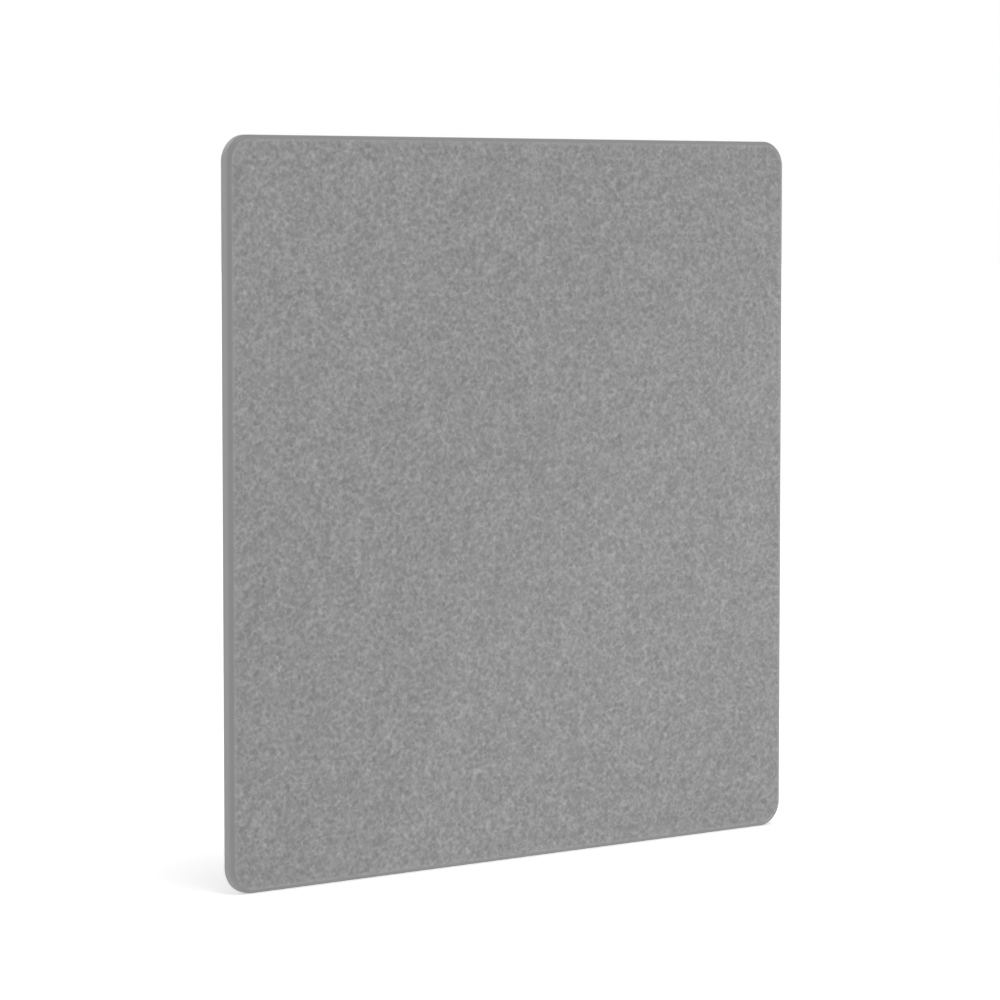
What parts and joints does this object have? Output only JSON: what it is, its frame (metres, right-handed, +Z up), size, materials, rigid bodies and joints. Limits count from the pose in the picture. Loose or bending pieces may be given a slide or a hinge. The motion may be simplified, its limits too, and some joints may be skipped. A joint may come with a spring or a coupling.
{
  "type": "acoustic divider screen",
  "caption": "Square upholstered acoustic screen panel with rounded corners, plain grey wool-felt faces and a smooth rounded grey edge strip; threaded foot fixings in its bottom edge.",
  "frame": {"origin": "centre of the panel's width and thickness, at the bottom of its edge strip", "axes": "+X along the width, to the right seen from the front; +Y through the thickness, towards the back, so that the front faces -Y; +Z up the height"},
  "size_m": [1.4, 0.03, 1.4],
  "materials": {
    "edge_strip": "satin soft plastic moulding",
    "front_fabric": "mottled grey wool felt",
    "back_fabric": "mottled grey wool felt",
    "wadding": "soft white needled wadding",
    "absorber": "pressed grey polyester fibre",
    "septum_board": "smooth brown hardboard",
    "frame_timber": "planed pine",
    "corner_plywood": "routed birch plywood",
    "dowels": "smooth beech",
    "foot_inserts": "zinc plated",
    "staples": "galvanised wire"
  },
  "bodies": {
    "root": {"edge_strip": "edge_strip", "front_fabric": "front_fabric", "back_fabric": "back_fabric", "front_wadding": "wadding", "back_wadding": "wadding", "front_absorber": "absorber", "back_absorber": "absorber", "septum_board": "septum_board", "top_rail": "frame_timber", "bottom_rail": "frame_timber", "left_stile": "frame_timber", "right_stile": "frame_timber", "top_right_corner_block": "corner_plywood", "top_left_corner_block": "corner_plywood", "bottom_left_corner_block": "corner_plywood", "bottom_right_corner_block": "corner_plywood", "frame_dowels": "dowels", "foot_inserts": "foot_inserts", "front_staples": "staples", "back_staples": "staples"}
  },
  "joints": []
}
